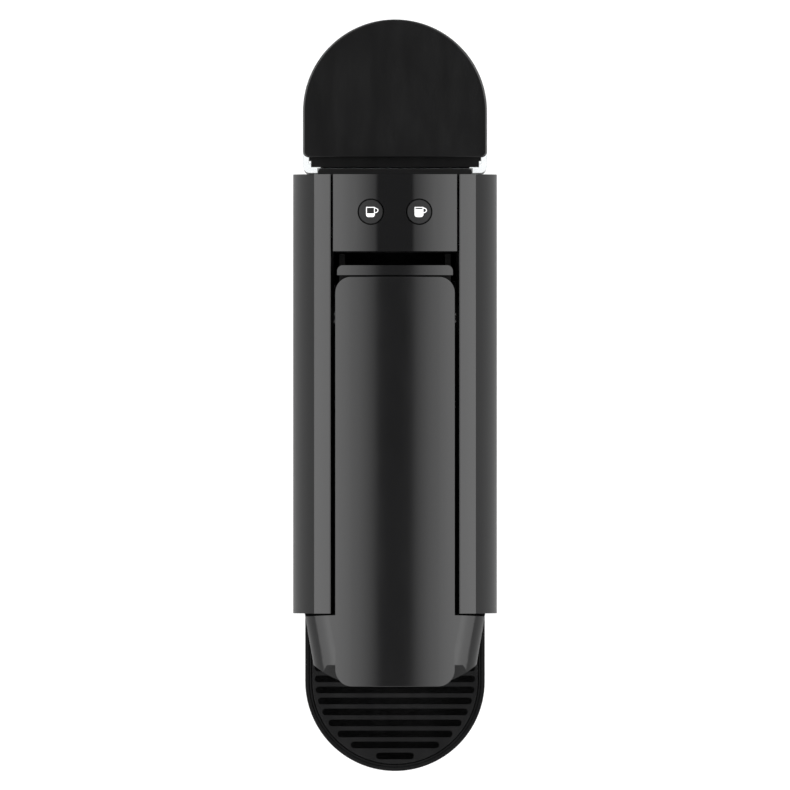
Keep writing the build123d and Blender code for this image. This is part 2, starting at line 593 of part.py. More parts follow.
# ================================================================ lever
def lever_body(inset, half_x, rear):
    """The lever as a solid, its crown and front inset under the cover's outer surface."""
    with BuildPart() as body:
        with BuildSketch(at_y(rear)):
            under_crown(half_x, LEVER_HOOK_Z - inset, inset)
        extrude(amount=rear - LEVER_TIP - inset)
        uprights = body.edges().filter_by(Axis.Z)
        fillet(uprights.group_by(Axis.Y)[-1], LEVER_REAR_R)
        fillet(uprights.group_by(Axis.Y)[0], LEVER_FRONT_R - inset)
    return body.part


lever_outer = lever_body(0, LEVER_X, LEVER_REAR)
lever_inner = lever_body(LEVER_SKIN, LEVER_X - LEVER_LIP, LEVER_REAR - LEVER_LIP)
with BuildPart() as lever_cover:
    add(lever_outer)
    fillet(lever_cover.faces().sort_by(Axis.Z)[-1].outer_wire().edges(), LEVER_EDGE_R)
    with BuildPart(mode=Mode.PRIVATE) as nose_top:
        add(nose_whole.part)
        block(-SIDE_X, SIDE_X, NOSE_TIP - 1, BODY_FRONT + 1, HEAD_Z, SPLIT_Z, Mode.SUBTRACT)
        with BuildSketch(Plane.YZ):
            with Locations((HINGE_Y, HINGE_Z)):
                Circle(HEAD_R + 2 * NOSE_SHOULDER_R + NOSE_X)
                Circle(HEAD_R, mode=Mode.SUBTRACT)
        extrude(amount=SIDE_X, both=True, mode=Mode.INTERSECT)
        with BuildSketch(at_y(BODY_FRONT - 2 * LEVER_SKIN)):
            under_crown(NOSE_TIP_X - NOSE_WALL, SPLIT_Z - 1, LEVER_SKIN + NOSE_WALL)
        extrude(amount=BODY_FRONT - 2 * LEVER_SKIN - POCKET_FRONT, mode=Mode.SUBTRACT)
    add(nose_top.part)
    add(lever_inner, mode=Mode.SUBTRACT)
    block(-LEVER_X, LEVER_X, HOOK_BACK, LEVER_REAR, LEVER_HOOK_Z - 5, LEVER_LIP_Z, Mode.SUBTRACT)
    block(-LEVER_X, LEVER_X, HINGE_Y - 14, LEVER_REAR, LEVER_HOOK_Z - 5, LEVER_PLATE_Z + LEVER_PLATE_T,
          Mode.SUBTRACT)
keep(lever_cover, "lever_cover")

PLATE_END = -104.0
OVERRUN = 0.09          # radians of cam slot past each end of the swing
CAM_MARGIN = 10.0       # cam plate beyond the follower
BEYOND = 200.0          # cutting size larger than the machine's parts
RIB_GAP = (PLATE_END + 20, -30.0)  # opening in the top plate, framed by two arms
CROSS_RIB = (-60.0, -50.0)
CAM_LOW = 38.0          # lowest edge of the cam plates under the hinge
with BuildPart() as lever_frame:
    block(-CAM_X - CAM_T, CAM_X + CAM_T, PLATE_END, TAIL_REAR, LEVER_PLATE_Z, LEVER_PLATE_Z + LEVER_PLATE_T)
    with BuildSketch(Plane.YZ.offset(CAM_X)):
        with Locations((HINGE_Y, HINGE_Z)):
            Circle(-FOLLOWER_DY + CAM_MARGIN)
        with Locations((HINGE_Y + TAIL_R / 2, HINGE_Z)):
            Rectangle(BEYOND, BEYOND, align=(Align.MIN, Align.CENTER), mode=Mode.SUBTRACT)
        with Locations((HINGE_Y, HINGE_Z - CAM_LOW)):
            Rectangle(BEYOND, BEYOND, align=(Align.CENTER, Align.MAX), mode=Mode.SUBTRACT)
        with Locations((HINGE_Y, HINGE_Z)):
            Circle(TAIL_R)
            Rectangle(BEYOND, BEYOND, align=(Align.CENTER, Align.MIN), mode=Mode.SUBTRACT)
        with BuildLine():
            cam_front = HINGE_Y + FOLLOWER_DY - CAM_MARGIN
            Polyline((cam_front, HINGE_Z - 4), (cam_front, LEVER_PLATE_Z + 0.5),
                     (TAIL_REAR - 3, LEVER_PLATE_Z + 0.5), (HINGE_Y + 20, HINGE_Z - 10), close=True)
        make_face()
        with BuildLine() as cam_line:
            steps = 10
            turns = [-OVERRUN + (SWING + 2 * OVERRUN) * k / steps for k in range(steps + 1)]
            Spline(*[(HINGE_Y + (FOLLOWER_DY + DRIVE_PER_RAD * t) * cos(t) - FOLLOWER_DZ * sin(t),
                      HINGE_Z + (FOLLOWER_DY + DRIVE_PER_RAD * t) * sin(t) + FOLLOWER_DZ * cos(t))
                     for t in turns])
        trace(cam_line.line, line_width=2 * (FOLLOWER_R + FREE), mode=Mode.SUBTRACT)
        with Locations((HINGE_Y, HINGE_Z)):
            Circle(HINGE_R + RUN, mode=Mode.SUBTRACT)
    extrude(amount=CAM_T)
    mirror(about=Plane.YZ)
    block(-CAM_X - CAM_T, CAM_X + CAM_T, *RIB_GAP, LEVER_PLATE_Z - 1, HEIGHT, Mode.SUBTRACT)
    for side in (-1, 1):
        arm = sorted((side * CAM_X, side * (CAM_X + CAM_T)))
        block(*arm, *RIB_GAP, LEVER_PLATE_Z - 3, LEVER_PLATE_Z + LEVER_PLATE_T)
    block(-CAM_X - CAM_T, CAM_X + CAM_T, *CROSS_RIB, LEVER_PLATE_Z, LEVER_PLATE_Z + LEVER_PLATE_T)
keep(lever_frame, "lever_frame")

with BuildPart() as lever_tail:
    with BuildSketch(at_y(TAIL_REAR)):
        under_crown(TAIL_X, LEVER_PLATE_Z + LEVER_PLATE_T)
    extrude(amount=TAIL_REAR - LEVER_REAR - TAIL_GAP)
    fillet(lever_tail.edges().filter_by(Axis.Z).group_by(Axis.Y)[-1], 2.5)
keep(lever_tail, "lever_tail")

# ================================================================ base
with BuildPart() as base_plate:
    with BuildSketch(Plane.XY.offset(FOOT_H)):
        with BuildLine():
            front_x = BASE_X - WALL - FIT
            Polyline((-front_x, BODY_REAR), (-front_x, COLUMN_FRONT + 2), (front_x, COLUMN_FRONT + 2),
                     (front_x, BODY_REAR), close=True)
        make_face()
        d_outline(TAIL_BASE_X, TANK_CY, BODY_REAR - 10)
    extrude(amount=BASE_RIM - FOOT_H)
    block(-front_x, front_x, COLUMN_FRONT, BIN_REAR + 3, PLATE_TOP, BASE_RIM + 1, Mode.SUBTRACT)
    block(-front_x + 2, front_x - 2, BIN_REAR + 5, BODY_REAR - 2, PLATE_TOP, BASE_RIM + 1, Mode.SUBTRACT)
    with BuildSketch(Plane.XY.offset(PLATE_TOP)):
        d_outline(TAIL_BASE_X - 2, TANK_CY, BODY_REAR)
    extrude(amount=BASE_RIM, mode=Mode.SUBTRACT)
    block(-9, 9, BODY_REAR - 3, BODY_REAR + 1, PLATE_TOP, BASE_RIM + 1, Mode.SUBTRACT)
    rod_y(CORD_R + 1, TANK_CY, TANK_CY + TAIL_BASE_X + 1, CORD_Z, mode=Mode.SUBTRACT)
keep(base_plate, "base_plate")

with BuildPart() as cord_gland:
    rod_y(CORD_R + 1, TANK_CY + TAIL_BASE_X - 5, TANK_CY + TAIL_BASE_X + 2, CORD_Z)
    rod_y(CORD_R + 1.8, TANK_CY + TAIL_BASE_X, TANK_CY + TAIL_BASE_X + 2, CORD_Z)
    rod_y(CORD_R, TANK_CY, TANK_CY + TAIL_BASE_X + 3, CORD_Z, mode=Mode.SUBTRACT)
keep(cord_gland, "cord_gland")

SPIGOT_TOP = TANK_Z + 7.0
with BuildPart() as tank_seat:
    with BuildSketch(Plane.XY.offset(BASE_RIM)):
        d_outline(TAIL_BASE_X, TANK_CY, BODY_REAR + FIT)
    extrude(amount=TANK_Z - 1.0 - BASE_RIM)
    rod_z(SPIGOT_R, 0, TANK_CY, TANK_Z - 2, SPIGOT_TOP)
    rod_z(SPIGOT_BORE, 0, TANK_CY, BASE_RIM, SPIGOT_TOP, Mode.SUBTRACT)
keep(tank_seat, "tank_seat")

with BuildPart() as seat_seal:
    ring_z(8.0, SPIGOT_R, 0, TANK_CY, TANK_Z - 1.0, TANK_Z - 0.3)
keep(seat_seal, "seat_seal")

with BuildPart() as inlet_filter:
    rod_z(SPIGOT_R, 0, TANK_CY, SPIGOT_TOP, SPIGOT_TOP + 0.8)
keep(inlet_filter, "inlet_filter")

FEET = [(x, y) for x in (-30, 30) for y in (COLUMN_FRONT + 12, BODY_REAR - 11)]
FEET += [(x, TANK_CY + 15) for x in (-16, 16)]
with BuildPart() as feet:
    with Locations(*[(x, y, 0) for x, y in FEET]):
        Cylinder(FOOT_R, FOOT_H, align=(Align.CENTER, Align.CENTER, Align.MIN))
keep(feet, "feet")

# ================================================================ tank
with BuildPart() as water_tank:
    with BuildSketch(Plane.XY.offset(TANK_Z)):
        d_outline(TANK_X, TANK_CY, TANK_FRONT)
    extrude(amount=TANK_TOP - TANK_Z)
    fillet(water_tank.edges().filter_by(Axis.Z).group_by(Axis.Y)[0], 3)
    block(-SPINE_X - FREE, SPINE_X + FREE, TANK_FRONT - 1, SPINE_REAR + FREE, TANK_Z - 1, TANK_TOP + 1,
          Mode.SUBTRACT)
    with BuildSketch(Plane.XY.offset(TANK_Z + 3)):
        d_outline(TANK_X - TANK_WALL, TANK_CY, SPINE_REAR + FREE + TANK_WALL)
    extrude(amount=TANK_TOP, mode=Mode.SUBTRACT)
    rod_z(VALVE_R, 0, TANK_CY, TANK_Z - 1, TANK_Z + 4, Mode.SUBTRACT)
keep(water_tank, "water_tank")

with BuildPart() as tank_valve:
    rod_z(VALVE_R, 0, TANK_CY, TANK_Z, TANK_Z + 14)
    rod_z(VALVE_R + 2, 0, TANK_CY, TANK_Z + 3, TANK_Z + 5)
    rod_z(SPIGOT_R + FREE, 0, TANK_CY, TANK_Z - 1, TANK_Z + 9, Mode.SUBTRACT)
    fillet(tank_valve.edges().group_by(Axis.Z)[-1], 1.5)
keep(tank_valve, "tank_valve")

with BuildPart() as tank_lid:
    with BuildSketch(Plane.XY.offset(TANK_TOP + 0.2)):
        d_outline(TANK_X, TANK_CY, LID_FRONT)
    extrude(amount=LID_T - 0.2)
    fillet(tank_lid.edges().filter_by(Axis.Z).group_by(Axis.Y)[0], 2.5)
    fillet(tank_lid.edges().group_by(Axis.Z)[-1], 0.8)
    block(-TONGUE_X, TONGUE_X, TONGUE_FRONT, LID_FRONT + 1, TANK_TOP + 0.2, TANK_TOP + 0.2 + TONGUE_T)
    rim_x = TANK_X - TANK_WALL - 0.4
    with BuildSketch(Plane.XY.offset(TANK_TOP + 0.3)):
        d_outline(rim_x, TANK_CY, SPINE_REAR + TANK_WALL + 1.2)
    extrude(amount=-5.0)
    with BuildSketch(Plane.XY.offset(TANK_TOP)):
        d_outline(rim_x - 1.8, TANK_CY, SPINE_REAR + TANK_WALL + 3)
    extrude(amount=-5.5, mode=Mode.SUBTRACT)
keep(tank_lid, "tank_lid")

# ================================================================ tray and container
GRID_X = TRAY_X - GRID_INSET
LEDGE_X = GRID_X - 1.2
CARRIER_TOP = CARRIER_Z + CARRIER_T
with BuildPart() as drip_tray:
    with BuildSketch(Plane.XY.offset(TRAY_Z)):
        d_outline(TRAY_X, TRAY_CY, TRAY_REAR)
    extrude(amount=TRAY_TOP - TRAY_Z)
    fillet(drip_tray.edges().group_by(Axis.Z)[0], 3)
    with BuildSketch(Plane.XY.offset(TRAY_TOP - GRID_T)):
        d_outline(GRID_X + 0.4, TRAY_CY, TRAY_REAR - TRAY_WALL)
    extrude(amount=2 * GRID_T, mode=Mode.SUBTRACT)
    with BuildSketch(Plane.XY.offset(TRAY_Z + 2)):
        d_outline(LEDGE_X, TRAY_CY, TRAY_REAR - 3)
    extrude(amount=TRAY_TOP, mode=Mode.SUBTRACT)
    with BuildSketch(Plane.XY.offset(TRAY_TOP)):
        d_outline(TRAY_X - TRAY_WALL, TRAY_CY, TRAY_REAR - TRAY_WALL)
        d_outline(TRAY_X - TRAY_WALL - GROOVE, TRAY_CY, TRAY_REAR - TRAY_WALL - GROOVE, Mode.SUBTRACT)
    extrude(amount=-1.0, mode=Mode.SUBTRACT)
keep(drip_tray, "drip_tray")

with BuildPart() as bin_carrier:
    block(-TRAY_X + 4, TRAY_X - 4, TRAY_REAR, BIN_REAR, CARRIER_Z, CARRIER_TOP)
keep(bin_carrier, "bin_carrier")

GRID_REAR = TRAY_REAR - TRAY_WALL - 0.4
FIRST_SLOT = 3.7         # grid's tip to the middle of its first slot
with BuildPart() as drip_grid:
    with BuildSketch(Plane.XY.offset(TRAY_TOP - GRID_T)):
        d_outline(GRID_X, TRAY_CY, GRID_REAR)
        rows = int((GRID_REAR - TRAY_CY + GRID_X - FIRST_SLOT - GRID_RING) / SLOT_PITCH)
        for row in range(rows):
            y = TRAY_CY - GRID_X + FIRST_SLOT + row * SLOT_PITCH
            reach = GRID_X - GRID_RING
            below = max(TRAY_CY - (y - SLOT_WIDTH / 2), 0)
            half = sqrt(reach**2 - below**2)
            with Locations((0, y)):
                SlotOverall(2 * half, SLOT_WIDTH, mode=Mode.SUBTRACT)
    extrude(amount=GRID_T)
    chamfer(drip_grid.faces().sort_by(Axis.Z)[-1].outer_wire().edges(), 0.4)
keep(drip_grid, "drip_grid")

with BuildPart() as capsule_bin:
    block(-BIN_X, BIN_X, BIN_FRONT, BIN_REAR, CARRIER_TOP, BIN_TOP)
    fillet(capsule_bin.edges().filter_by(Axis.Z), 4)
    block(-BIN_X + BIN_WALL, BIN_X - BIN_WALL, BIN_FRONT + BIN_WALL, BIN_REAR - BIN_WALL,
          CARRIER_TOP + BIN_WALL, BIN_TOP + 1, Mode.SUBTRACT)
keep(capsule_bin, "capsule_bin")

with BuildPart() as tray_feet:
    with Locations(*[(x, y, 0) for x in (-22, 22) for y in (TRAY_CY - 12, TRAY_REAR - 28)]):
        Cylinder(5, TRAY_Z, align=(Align.CENTER, Align.CENTER, Align.MIN))
keep(tray_feet, "tray_feet")

# ================================================================ water and power, inside the column
PUMP_X, PUMP_Y = -19.0, 60.0
BLOCK_X, BLOCK_Y = 19.0, 60.0
BLOCK_LOW, BLOCK_TOP = 40.0, 118.0
with BuildPart() as thermoblock:
    block(BLOCK_X - 15, BLOCK_X + 15, BLOCK_Y - 22, BLOCK_Y + 22, BLOCK_LOW, BLOCK_TOP)
    fillet(thermoblock.edges().filter_by(Axis.Z), 5)
    for k in range(6):
        z = BLOCK_LOW + 10 + 10 * k
        block(BLOCK_X + 12, BLOCK_X + 16, BLOCK_Y - 17, BLOCK_Y + 17, z, z + 4, Mode.SUBTRACT)
    rod_z(4, BLOCK_X, BLOCK_Y - 10, BLOCK_TOP, BLOCK_TOP + 5)
    rod_z(4, BLOCK_X - 6, BLOCK_Y + 14, BLOCK_TOP, BLOCK_TOP + 5)
keep(thermoblock, "thermoblock")

with BuildPart() as heater_terminals:
    with Locations((BLOCK_X - 8, BLOCK_Y, BLOCK_LOW), (BLOCK_X + 8, BLOCK_Y, BLOCK_LOW)):
        Cylinder(2.6, 9, align=(Align.CENTER, Align.CENTER, Align.MAX))
keep(heater_terminals, "heater_terminals")

with BuildPart() as thermostat:
    rod_z(6, BLOCK_X + 5, BLOCK_Y + 4, BLOCK_TOP, BLOCK_TOP + 6)
keep(thermostat, "thermostat")

with BuildPart() as block_bracket:
    block(BLOCK_X - 12, BLOCK_X + 12, BLOCK_Y - 26, BLOCK_Y - 22, PLATE_TOP, BLOCK_LOW + 30)
    block(BLOCK_X - 12, BLOCK_X + 12, BLOCK_Y - 30, BLOCK_Y - 22, PLATE_TOP, PLATE_TOP + 3)
keep(block_bracket, "block_bracket")

PUMP_LOW = 26.0
COIL_LOW, COIL_TOP = 50.0, 88.0
PUMP_TOP = 112.0
PUMP_R = 9.0
MOUNT_R = 13.0          # rubber mounts round the pump
STUB = 6.0              # hose stubs
STUB_R = 3.2
with BuildPart() as pump_body:
    rod_z(PUMP_R, PUMP_X, PUMP_Y, PUMP_LOW, PUMP_TOP)
    rod_z(12, PUMP_X, PUMP_Y, PUMP_LOW + 6, PUMP_LOW + 14)
    rod_z(STUB_R, PUMP_X, PUMP_Y, PUMP_LOW - STUB, PUMP_LOW)
    rod_z(STUB_R, PUMP_X, PUMP_Y, PUMP_TOP, PUMP_TOP + STUB)
keep(pump_body, "pump_body")

with BuildPart() as pump_coil:
    block(PUMP_X - 16, PUMP_X + 16, PUMP_Y - 16, PUMP_Y + 16, COIL_LOW, COIL_TOP)
    fillet(pump_coil.edges().filter_by(Axis.Z), 5)
    rod_z(PUMP_R, PUMP_X, PUMP_Y, COIL_LOW, COIL_TOP, Mode.SUBTRACT)
keep(pump_coil, "pump_coil")

with BuildPart() as pump_mounts:
    ring_z(MOUNT_R, PUMP_R, PUMP_X, PUMP_Y, PUMP_LOW + 14, PUMP_LOW + 18)
    ring_z(MOUNT_R, PUMP_R, PUMP_X, PUMP_Y, PUMP_TOP - 12, PUMP_TOP - 8)
keep(pump_mounts, "pump_mounts")

with BuildPart() as pump_bracket:
    for z in (PUMP_LOW + 14, PUMP_TOP - 12):
        block(PUMP_X - 16, PUMP_X + 16, PUMP_Y - 24, PUMP_Y + 14, z, z + 4)
        rod_z(MOUNT_R, PUMP_X, PUMP_Y, z, z + 4, Mode.SUBTRACT)
    block(PUMP_X - 16, PUMP_X + 16, PUMP_Y - 26, PUMP_Y - 24, PLATE_TOP, PUMP_TOP - 8)
keep(pump_bracket, "pump_bracket")

METER_Y = 80.0
METER_TOP = PLATE_TOP + 18
INLET_Z = PLATE_TOP + 3.6
with BuildPart() as flow_meter:
    rod_z(9, 0, METER_Y, PLATE_TOP, PLATE_TOP + 14)
    rod_y(STUB_R, METER_Y, METER_Y + 14, INLET_Z)
    rod_z(STUB_R, 0, METER_Y, PLATE_TOP + 14, METER_TOP)
keep(flow_meter, "flow_meter")

HOSE_R = 2.6
HOSE_BORE = 1.4
HOSE_HIGH = PUMP_LOW + 5
HOSE_LOW = PUMP_LOW - 10
with BuildPart() as inlet_hose:
    pipe([(0, METER_Y + 14, INLET_Z), (0, TANK_CY, INLET_Z), (0, TANK_CY, BASE_RIM)], 2.3, 1.7, 1.0)
keep(inlet_hose, "inlet_hose")

with BuildPart() as pump_hose:
    out_x, out_y = PUMP_X - 15, PUMP_Y - 18
    pipe([(0, METER_Y, METER_TOP), (0, METER_Y, HOSE_HIGH), (0, out_y, HOSE_HIGH), (out_x, out_y, HOSE_HIGH),
          (out_x, PUMP_Y, HOSE_HIGH), (out_x, PUMP_Y, HOSE_LOW), (PUMP_X, PUMP_Y, HOSE_LOW),
          (PUMP_X, PUMP_Y, PUMP_LOW - STUB)], 3.4, HOSE_R, HOSE_BORE)
keep(pump_hose, "pump_hose")

with BuildPart() as pressure_hose:
    pipe([(PUMP_X, PUMP_Y, PUMP_TOP + STUB), (PUMP_X, PUMP_Y, PUMP_TOP + 16),
          (BLOCK_X, BLOCK_Y - 10, PUMP_TOP + 16), (BLOCK_X, BLOCK_Y - 10, BLOCK_TOP + 5)],
         5, HOSE_R, HOSE_BORE)
keep(pressure_hose, "pressure_hose")

with BuildPart() as feed_hose:
    pipe([(BLOCK_X - 6, BLOCK_Y + 14, BLOCK_TOP + 5), (BLOCK_X - 6, BLOCK_Y + 14, BREW_Z),
          (0, GLAND_REAR + 9, BREW_Z), (0, GLAND_REAR, BREW_Z)], 3.5, HOSE_R, HOSE_BORE)
keep(feed_hose, "feed_hose")

CONTROL_Y = 90.0
with BuildPart() as control_board:
    block(-34, 34, CONTROL_Y, CONTROL_Y + BOARD_T, 40, 130)
keep(control_board, "control_board")

with BuildPart() as board_parts:
    chips = ((-24, 60, 14, 18, 4), (-22, 96, 12, 12, 5), (0, 112, 16, 10, 5), (22, 124, 12, 8, 4))
    for x, z, w, h, d in chips:
        block(x - w / 2, x + w / 2, CONTROL_Y - d, CONTROL_Y, z - h / 2, z + h / 2)
keep(board_parts, "board_parts")

os.makedirs("parts", exist_ok=True)
for piece in pieces:
    export_step(piece, f"parts/{piece.label}.step")
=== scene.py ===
import json
from math import cos, pi, radians, sin, sqrt

import bmesh
import bpy
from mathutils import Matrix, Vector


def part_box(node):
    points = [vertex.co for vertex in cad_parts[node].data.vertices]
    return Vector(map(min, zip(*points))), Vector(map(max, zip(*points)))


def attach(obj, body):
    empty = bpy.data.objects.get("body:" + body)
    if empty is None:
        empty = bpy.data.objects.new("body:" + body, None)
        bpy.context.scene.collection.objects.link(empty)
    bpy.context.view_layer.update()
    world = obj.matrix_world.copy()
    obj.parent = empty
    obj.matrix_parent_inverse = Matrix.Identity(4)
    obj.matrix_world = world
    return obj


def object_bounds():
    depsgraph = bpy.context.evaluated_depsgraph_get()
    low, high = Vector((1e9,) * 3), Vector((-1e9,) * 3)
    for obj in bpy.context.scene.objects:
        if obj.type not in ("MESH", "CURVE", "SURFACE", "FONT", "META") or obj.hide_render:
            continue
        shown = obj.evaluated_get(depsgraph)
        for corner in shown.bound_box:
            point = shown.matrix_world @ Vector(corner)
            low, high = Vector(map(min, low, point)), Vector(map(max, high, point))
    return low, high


# Looks, button marks, floor, light and camera for the slim lever-operated capsule coffee
# machine. Metres, +Z up; the machine faces -Y and stands on the floor at Z = 0.

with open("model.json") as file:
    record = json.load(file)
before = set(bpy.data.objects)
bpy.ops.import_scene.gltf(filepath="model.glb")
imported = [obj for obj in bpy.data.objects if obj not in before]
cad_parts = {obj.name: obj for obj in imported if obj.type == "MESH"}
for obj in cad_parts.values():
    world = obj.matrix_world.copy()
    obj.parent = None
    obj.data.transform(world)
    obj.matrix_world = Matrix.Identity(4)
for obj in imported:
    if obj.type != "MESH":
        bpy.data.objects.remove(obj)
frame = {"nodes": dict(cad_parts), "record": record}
cad_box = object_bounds()
nodes = frame["nodes"]
MM = 0.001

# ---------------------------------------------------------------- sizes taken from the housing
TOP = cad_box[1][2]          # the crown's highest line
CROWN_R = 90 * MM            # the crown's radius across the machine


def crown(x, inset=0.0):
    """Height of the machine's crown at x, inset under its surface."""
    return TOP - CROWN_R + sqrt((CROWN_R - inset) ** 2 - x**2)


# ================================================================ materials
PLASTIC_IOR = 1.5
CLEAR_IOR = 1.33
DRIFT = 0.06                 # how far a plastic's tone drifts each way, as a share
DRIFT_CELLS = 38.0           # noise cells per metre, here and below
GLOSS_CELLS = 150.0
FLOW_CELLS = 22.0
FLOW_RELIEF = 0.3 * MM
MARK_RELIEF = 0.03 * MM      # tool marks on metal


def material(name):
    """New node material, its node tree and its shader."""
    mat = bpy.data.materials.new(name)
    mat.use_nodes = True
    return mat, mat.node_tree, mat.node_tree.nodes["Principled BSDF"]


def noise(tree, scale, detail=3.0, stretch=(1, 1, 1)):
    """Noise over the piece's own coordinates, its scale in cells per metre."""
    place = tree.nodes.new("ShaderNodeTexCoord")
    turn = tree.nodes.new("ShaderNodeMapping")
    turn.inputs["Scale"].default_value = stretch
    grain = tree.nodes.new("ShaderNodeTexNoise")
    grain.inputs["Scale"].default_value = scale
    grain.inputs["Detail"].default_value = detail
    tree.links.new(place.outputs["Object"], turn.inputs["Vector"])
    tree.links.new(turn.outputs["Vector"], grain.inputs["Vector"])
    return grain.outputs["Fac"]


def ramp(tree, source, low, high, middle=(0.3, 0.7)):
    """Maps a noise's middle range onto low..high."""
    span = tree.nodes.new("ShaderNodeMapRange")
    span.inputs["From Min"].default_value = middle[0]
    span.inputs["From Max"].default_value = middle[1]
    span.inputs["To Min"].default_value = low
    span.inputs["To Max"].default_value = high
    tree.links.new(source, span.inputs["Value"])
    return span.outputs["Result"]


def mix_colour(tree, source, low, high):
    """Colour between low and high, by a noise."""
    blend = tree.nodes.new("ShaderNodeMix")
    blend.data_type = "RGBA"
    blend.inputs["A"].default_value = (*low, 1)
    blend.inputs["B"].default_value = (*high, 1)
    tree.links.new(source, blend.inputs["Factor"])
    return blend.outputs["Result"]


def bump(tree, shader, source, height, strength=0.5):
    """Fine relief from a noise, height in metres."""
    relief = tree.nodes.new("ShaderNodeBump")
    relief.inputs["Strength"].default_value = strength
    relief.inputs["Distance"].default_value = height
    tree.links.new(source, relief.inputs["Height"])
    tree.links.new(relief.outputs["Normal"], shader.inputs["Normal"])


def plastic(name, tone, rough, spread, grain, cells=2600.0, gloss=0.5):
    """Moulded plastic: a tone that drifts a little, uneven gloss and a fine moulding grain."""
    mat, tree, shader = material(name)
    dark = tuple(c * (1 - DRIFT) for c in tone)
    light = tuple(c * (1 + DRIFT) for c in tone)
    colour = mix_colour(tree, noise(tree, DRIFT_CELLS, 2.0), dark, light)
    tree.links.new(colour, shader.inputs["Base Color"])
    smear = noise(tree, GLOSS_CELLS, 4.0, (1, 0.25, 1))
    roughness = ramp(tree, smear, rough - spread, rough + spread)
    tree.links.new(roughness, shader.inputs["Roughness"])
    bump(tree, shader, noise(tree, cells, 2.0), grain)
    shader.inputs["IOR"].default_value = PLASTIC_IOR
    shader.inputs["Specular IOR Level"].default_value = gloss
    return mat


def metal(name, tone, rough, stretch=(1, 1, 1), cells=900.0):
    """Machined or cast metal with fine marks along one direction."""
    mat, tree, shader = material(name)
    marks = noise(tree, cells, 4.0, stretch)
    dark = tuple(c * 0.9 for c in tone)
    tree.links.new(mix_colour(tree, marks, dark, tone), shader.inputs["Base Color"])
    tree.links.new(ramp(tree, marks, rough * 0.8, rough * 1.25), shader.inputs["Roughness"])
    bump(tree, shader, marks, MARK_RELIEF, 0.3)
    shader.inputs["Metallic"].default_value = 1.0
    return mat


def clear_plastic(name, tint):
    """Clear moulded plastic, with slight flow marks."""
    mat, tree, shader = material(name)
    flow = noise(tree, FLOW_CELLS, 2.0, (1, 1, 0.2))
    tree.links.new(ramp(tree, flow, 0.02, 0.06), shader.inputs["Roughness"])
    bump(tree, shader, flow, FLOW_RELIEF, 0.15)
    shader.inputs["Base Color"].default_value = (*tint, 1)
    shader.inputs["Transmission Weight"].default_value = 1.0
    shader.inputs["IOR"].default_value = CLEAR_IOR
    return mat


def grey(value, blue=0.0):
    """Neutral colour, with a little more blue where asked."""
    return value, value, value + blue


# Plastics: tone, roughness and its spread, grain's height, its cells per metre, gloss.
BLACK = grey(0.0068, 0.0002)
LID_BLACK = grey(0.0054, 0.0001)
look = {
    "shell": plastic("shell_gloss", BLACK, 0.10, 0.02, 0.004 * MM),
    "panel": plastic("panel_polish", BLACK, 0.05, 0.015, 0.002 * MM),
    "lever": plastic("lever_satin", BLACK, 0.16, 0.02, 0.004 * MM),
    "button": plastic("button_grey", grey(0.0095, 0.0003), 0.4, 0.04, 0.01 * MM, 3500, 0.27),
    "inner_black": plastic("inner_black", grey(0.0035), 0.55, 0.06, 0.03 * MM, 2200, 0.15),
    "grid": plastic("grid_gloss", BLACK, 0.22, 0.03, 0.006 * MM),
    "tray": plastic("tray_gloss", BLACK, 0.18, 0.03, 0.006 * MM),
    "bin": plastic("bin_texture", grey(0.011), 0.45, 0.06, 0.04 * MM, 1800),
    "tank_clear": clear_plastic("tank_clear", (0.93, 0.955, 0.96)),
    "lid": plastic("lid_satin", LID_BLACK, 0.2, 0.03, 0.006 * MM),
    "valve": plastic("valve_grey", grey(0.05, 0.002), 0.4, 0.05, 0.01 * MM),
    "steel": metal("steel", grey(0.6, 0.01), 0.24, (1, 12, 12)),
    "cast": metal("cast_alloy", grey(0.55, 0.01), 0.42),
    "rubber": plastic("rubber", grey(0.016), 0.7, 0.08, 0.04 * MM, 1500),
    "silicone": plastic("silicone", grey(0.62, -0.04), 0.5, 0.05, 0.01 * MM),
    "grey_plastic": plastic("grey_plastic", grey(0.2, 0.01), 0.42, 0.06, 0.02 * MM),
    "coil": plastic("coil_potting", (0.05, 0.06, 0.08), 0.45, 0.06, 0.02 * MM),
    "board": plastic("board_green", (0.02, 0.12, 0.06), 0.4, 0.05, 0.02 * MM),
    "parts": plastic("board_parts", grey(0.03, 0.004), 0.5, 0.06, 0.02 * MM),
    "mark": plastic("mark_white", grey(0.82), 0.45, 0.04, 0.006 * MM),
}

for part in frame["record"]["subparts"]:
    mesh = nodes[part["node"]].data
    mesh.materials.clear()
    mesh.materials.append(look[part["material_slot"]])


# ================================================================ marks on the buttons
KEY_INSET = 0.1 * MM         # the buttons' tops lie this much under the crown
MARK_T = 0.08 * MM           # the print stands out by this much, and goes in as much
CUP_LEFT, CUP_RIGHT = -2.05 * MM, 1.8 * MM
CUP_TOP, CUP_BOTTOM = 2.1 * MM, -2.35 * MM
CUP_CORNER = 1.1 * MM        # radius of the cup's lower corners
LINE = 0.36 * MM             # width of the printed lines
HANDLE_Y = 0.6 * MM          # the handle's middle
HANDLE_OUT = 1.55 * MM       # how far it stands out from the cup
HANDLE_HALF = 1.2 * MM       # half its height
ESPRESSO_LEVEL = -0.75 * MM  # surface of the coffee in the cup
LUNGO_LEVEL = 1.15 * MM


def arc(centre, radii, start, end, steps):
    """Points along an arc of an ellipse, angles in degrees."""
    turns = [radians(start + (end - start) * k / steps) for k in range(steps + 1)]
    return [(centre[0] + radii[0] * cos(t), centre[1] + radii[1] * sin(t)) for t in turns]


